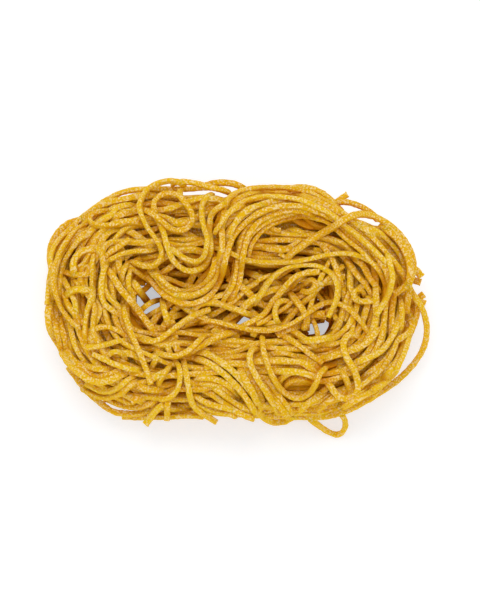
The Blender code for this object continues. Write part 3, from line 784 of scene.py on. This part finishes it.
def dough_with_painted_shade(tree, depth, upward):
    tone = add_node(tree, "ShaderNodeAttribute", attribute_name=TONE).outputs["Fac"]
    yellow = add_node(tree, "ShaderNodeMix", [(tone, "Factor")], data_type="RGBA")
    for socket, colour in zip((MIX_FIRST, MIX_SECOND), YELLOWS):
        yellow.inputs[socket].default_value = linear(colour)
    painted_flank_shade = add_node(tree, "ShaderNodeMapRange", [(upward, "Value")], from_min=-0.1, from_max=0.5,
                     to_min=FLANK_SHADE_SHARE, to_max=0.0).outputs["Result"]
    # Painted shade: amber where the noodle lies deep or its side faces away from up.
    painted_shade_share = add_node(tree, "ShaderNodeMath", [(depth, 0), (painted_flank_shade, 1)], operation="MAXIMUM").outputs["Value"]
    dough = add_node(tree, "ShaderNodeMix", [(painted_shade_share, "Factor"), (yellow.outputs[MIXED], MIX_FIRST)],
                     data_type="RGBA")
    dough.inputs[MIX_SECOND].default_value = linear(SHADE_AMBER)
    return dough.outputs[MIXED]


# %% [markdown]
# Starch dries on the skin as pale flakes, a third to half a millimetre across. That is too fine for one
# pixel of the photo's view, so they are drawn at 0.6 mm, as coarse as they need to show, and are both
# colour and relief. They lie in patches. More are painted on what faces up, a painted highlight on the
# tops, and fewer deep between the noodles, a painted shade.

# %% The flakes of starch, with painted light and shade
# Pale starch colour, which also serves as a painted highlight on the tops.
STARCH_AND_HIGHLIGHT = "#FEE2A2"
FLAKE_SIZE, PATCH_SIZE = 0.6 * MM, 7.0 * MM
FLAKE_HEIGHT = 0.12 * MM


def starch_and_painted_light(tree, place, flakes, depth, upward):
    patches = add_node(tree, "ShaderNodeTexNoise", [(place, "Vector")], scale=1 / PATCH_SIZE,
                       detail=2.0).outputs["Fac"]
    bloom = add_node(tree, "ShaderNodeMapRange", [(flakes, "Value")], from_min=0.49, from_max=0.63)
    share = add_node(tree, "ShaderNodeMapRange", [(patches, "Value")], to_min=0.7, to_max=1.0)
    # Painted highlight: more flakes where the surface faces up.
    painted_top_light = add_node(tree, "ShaderNodeMapRange", [(upward, "Value")], from_min=0.1, from_max=0.95)
    # Painted shade: fewer flakes deep between the noodles.
    painted_deep_shade = add_node(tree, "ShaderNodeMapRange", [(depth, "Value")], to_min=1.0, to_max=0.1)
    amount = bloom.outputs["Result"]
    for factor in (share, painted_top_light, painted_deep_shade):
        amount = add_node(tree, "ShaderNodeMath", [(amount, 0), (factor.outputs["Result"], 1)],
                          operation="MULTIPLY").outputs["Value"]
    return amount


# %% [markdown]
# The shader's own numbers start from typical ones for dry dough: an IOR of 1.47 and a roughness over 0.6.
# The level of its gloss is far below the default, because the flakes break it up. Where starch lies, less
# light soaks in.

# %% The material
SOAK_REACH = (0.8, 0.62, 0.35)
SOAK_BARE, SOAK_DUSTED = 0.4, 0.1


def dry_egg_pasta():
    material = bpy.data.materials.new("air_dried_egg_pasta")
    material.use_nodes = True
    tree = material.node_tree
    shader = tree.nodes["Principled BSDF"]
    shader.inputs["Roughness"].default_value = 0.62
    shader.inputs["IOR"].default_value = 1.47
    shader.inputs["Specular IOR Level"].default_value = 0.05
    shader.inputs["Subsurface Radius"].default_value = SOAK_REACH
    shader.inputs["Subsurface Scale"].default_value = 1.0 * MM
    place = add_node(tree, "ShaderNodeTexCoord").outputs["Object"]
    depth = add_node(tree, "ShaderNodeAttribute", attribute_name=BURIED).outputs["Fac"]
    facing = add_node(tree, "ShaderNodeNewGeometry").outputs["Normal"]
    upward = add_node(tree, "ShaderNodeSeparateXYZ", [(facing, "Vector")]).outputs["Z"]
    flakes = add_node(tree, "ShaderNodeTexNoise", [(place, "Vector")], scale=1 / FLAKE_SIZE, detail=1.0,
                      roughness=0.5).outputs["Fac"]
    amount = starch_and_painted_light(tree, place, flakes, depth, upward)
    dough = dough_with_painted_shade(tree, depth, upward)
    colour = add_node(tree, "ShaderNodeMix", [(amount, "Factor"), (dough, MIX_FIRST)], data_type="RGBA")
    colour.inputs[MIX_SECOND].default_value = linear(STARCH_AND_HIGHLIGHT)
    soaking = add_node(tree, "ShaderNodeMapRange", [(amount, "Value")], to_min=SOAK_BARE, to_max=SOAK_DUSTED)
    relief = add_node(tree, "ShaderNodeBump", [(flakes, "Height")], strength=0.6, distance=FLAKE_HEIGHT)
    tree.links.new(colour.outputs[MIXED], shader.inputs["Base Color"])
    tree.links.new(soaking.outputs["Result"], shader.inputs["Subsurface Weight"])
    tree.links.new(relief.outputs["Normal"], shader.inputs["Normal"])
    print(material.name, "has", len(tree.nodes), "nodes")
    return material


pasta = dry_egg_pasta()

# %% [markdown]
# ## The pieces
#
# Many noodles make one piece, because they dried into one nest and never move apart. Under them lies a
# plain skin for the noodles that never show, and on it a first layer round the outer wall, so that no bare
# skin looks out between the wound ones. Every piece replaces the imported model's nest.

# %% The pieces
def add_piece(piece):
    piece.data.materials.append(pasta)
    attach(piece, "root")
    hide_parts("pasta_nest")


INSIDE_ROWS, INSIDE_COLUMNS, INSIDE_LIFT = 96, 28, -0.5


def packed_inside():
    """The noodles that never show, as the ring's skin, a little inside the first layer."""
    mesh = bpy.data.meshes.new("packed_inside")
    rows, columns = INSIDE_ROWS, INSIDE_COLUMNS
    turns, angles = np.arange(rows) / rows, np.arange(columns) / columns * 2 * math.pi
    turn, section = np.meshgrid(turns, angles, indexing="ij")
    spots = ring_points(turn.ravel(), section.ravel(), INSIDE_LIFT)
    faces = []
    for i in range(rows):
        for j in range(columns):
            a, b = i * columns + j, i * columns + (j + 1) % columns
            c, d = ((i + 1) % rows) * columns + (j + 1) % columns, ((i + 1) % rows) * columns + j
            faces.append((d, c, b, a))
    mesh.from_pydata((spots * MM).tolist(), [], faces)
    mesh.shade_smooth()
    piece = bpy.data.objects.new("packed_inside", mesh)
    bpy.context.scene.collection.objects.link(piece)
    return piece


# %% The first layer round the wall
FIRST_LANE, LAST_LANE, LANES, FIRST_LIFT = -0.25, 0.15, 17, -0.3


def first_layer():
    """Noodles side by side round the outer wall, which show wherever the wound ones leave it bare."""
    laid = []
    for share in np.linspace(FIRST_LANE, LAST_LANE, LANES):
        along = chance.uniform(0, LAP) + np.arange(0, LAP, WOUND_STEP)
        angle = 2 * math.pi * share + waver(along, size=0.05, period=60)
        spots = ring_points(along / LAP, angle, FIRST_LIFT)
        outward = ring_points(along / LAP, angle, FIRST_LIFT + 1) - spots
        spots[:, 2] = np.maximum(spots[:, 2], LOWEST_MIDDLE)
        laid.append((spots, outward))
    return laid


# %% All pieces
half = len(wound_noodles) // 2
add_piece(packed_inside())
for name, noodles in (("wound_noodles_a", wound_noodles[:half]), ("wound_noodles_b", wound_noodles[half:]),
                      ("hollow_noodles", hollow_noodles), ("rim_noodles", rim_noodles),
                      ("south_noodles", south_noodles), ("west_noodles", west_noodles),
                      ("north_noodles", north_noodles)):
    add_piece(sweep(name, noodles))
add_piece(sweep("first_layer", first_layer()))

# %% [markdown]
# ## A plain table, soft light and the photo's view
#
# The nest lies on white, lit from behind by a large soft light, so the shadow falls a little towards the
# viewer. The board gives off a little cool light of its own, so it stays white where the nest's yellow
# falls on it.

# %% Floor
FLOOR_SIZE, FLOOR_DROP = 3.0, 0.00005
BOARD, BOARD_GLOW, BOARD_GLOW_STRENGTH = "#E2D8D2", "#DCF2FF", 0.55


def white_floor():
    mesh = bpy.data.meshes.new("white_table")
    maker = bmesh.new()
    bmesh.ops.create_grid(maker, x_segments=1, y_segments=1, size=FLOOR_SIZE)
    maker.to_mesh(mesh)
    maker.free()
    floor = bpy.data.objects.new("white_table", mesh)
    bpy.context.scene.collection.objects.link(floor)
    floor.location.z = -FLOOR_DROP
    material = bpy.data.materials.new("white_painted_board")
    material.use_nodes = True
    shader = material.node_tree.nodes["Principled BSDF"]
    shader.inputs["Base Color"].default_value = linear(BOARD)
    shader.inputs["Roughness"].default_value = 0.9
    shader.inputs["Emission Color"].default_value = linear(BOARD_GLOW)
    shader.inputs["Emission Strength"].default_value = BOARD_GLOW_STRENGTH
    mesh.materials.append(material)
    return floor


white_floor()

# %% Light
ROOM_LIGHT = 0.7


def area_light(name, direction, distance, size, power):
    light = bpy.data.lights.new(name, "AREA")
    light.shape = "DISK"
    light.size = size
    light.energy = power
    lamp = bpy.data.objects.new(name, light)
    towards = Vector(direction).normalized()
    lamp.location = towards * distance
    lamp.rotation_mode = "QUATERNION"
    lamp.rotation_quaternion = towards.to_track_quat("Z", "Y")
    bpy.context.scene.collection.objects.link(lamp)


area_light("window", direction=(-0.1, 0.42, 1.2), distance=0.9, size=0.5, power=1.65)
area_light("fill", direction=(0.4, -0.8, 1.3), distance=1.2, size=1.0, power=0.95)
world = bpy.data.worlds.new("white_room")
world.use_nodes = True
world.node_tree.nodes["Background"].inputs["Color"].default_value = (1, 1, 1, 1)
world.node_tree.nodes["Background"].inputs["Strength"].default_value = ROOM_LIGHT
bpy.context.scene.world = world
bpy.context.scene.view_settings.view_transform = "Standard"

# %% [markdown]
# The camera stands a metre away and looks down steeply. Its lens gives 0.29 mm a pixel at the height of 25
# mm, where most of what one sees lies, and its aim puts the nest's middle at the same pixel as in the
# photo.

# %% Camera
PHOTO_SCALE = 0.29
SENSOR = 36.0
PHOTO_WIDTH, PHOTO_HEIGHT = 480, 609
NEST_COLUMN, NEST_ROW = 237.0, 300.0

lens_view = bpy.data.cameras.new("photo_view")
lens_view.sensor_width = SENSOR
lens_view.lens = SENSOR * VIEW_DISTANCE / (PHOTO_HEIGHT * PHOTO_SCALE)
camera = bpy.data.objects.new("photo_view", lens_view)
bpy.context.scene.collection.objects.link(camera)
back = Vector((0, -math.cos(VIEW_ELEVATION), math.sin(VIEW_ELEVATION)))
up_in_view = Vector((0, math.sin(VIEW_ELEVATION), math.cos(VIEW_ELEVATION)))
aim = Vector((0, 0, VIEW_HEIGHT))
aim += Vector((1, 0, 0)) * (PHOTO_WIDTH / 2 - NEST_COLUMN) * PHOTO_SCALE
aim -= up_in_view * (PHOTO_HEIGHT / 2 - NEST_ROW) * PHOTO_SCALE
camera.location = (aim + back * VIEW_DISTANCE) * MM
camera.rotation_mode = "QUATERNION"
camera.rotation_quaternion = back.to_track_quat("Z", "Y")
lens_view.clip_start, lens_view.clip_end = 0.05, 20.0
bpy.context.scene.camera = camera
print("lens, mm:", round(lens_view.lens))
